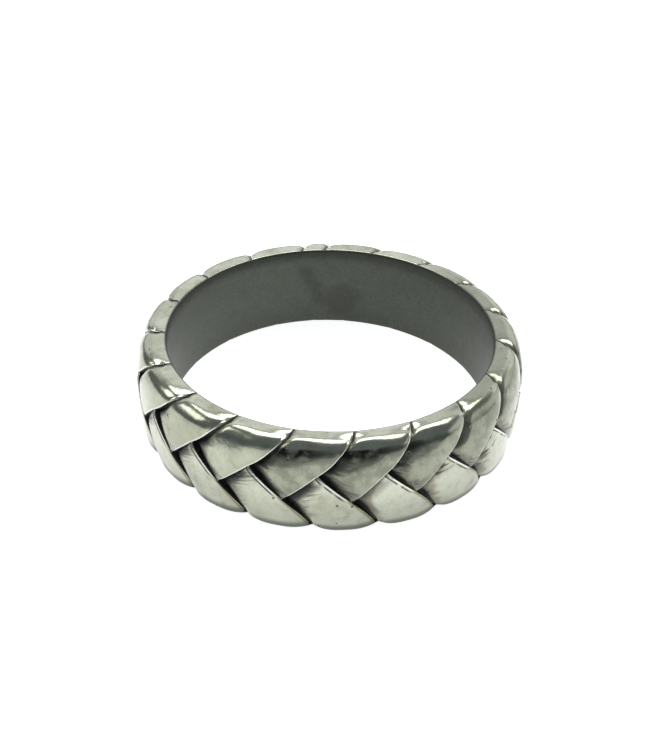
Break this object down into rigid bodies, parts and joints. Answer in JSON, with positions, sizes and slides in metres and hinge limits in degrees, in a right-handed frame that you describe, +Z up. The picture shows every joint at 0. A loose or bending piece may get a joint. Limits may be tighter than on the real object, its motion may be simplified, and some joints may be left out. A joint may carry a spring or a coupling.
{
  "type": "braided band ring",
  "caption": "Cast band ring with a raised plait of overlapping lobes outside and a smooth round finger hole.",
  "frame": {"origin": "centre of the finger hole, on the surface that the ring lies on", "axes": "+Z up along the finger hole; -Y towards the picture's camera; +X to the right as the picture shows it"},
  "size_m": [0.0228, 0.0228, 0.0055],
  "materials": {
    "silver": "worn polished silver, darkened in the hollows and matt inside the finger hole"
  },
  "bodies": {
    "root": {"braided_band": "silver"}
  },
  "joints": []
}
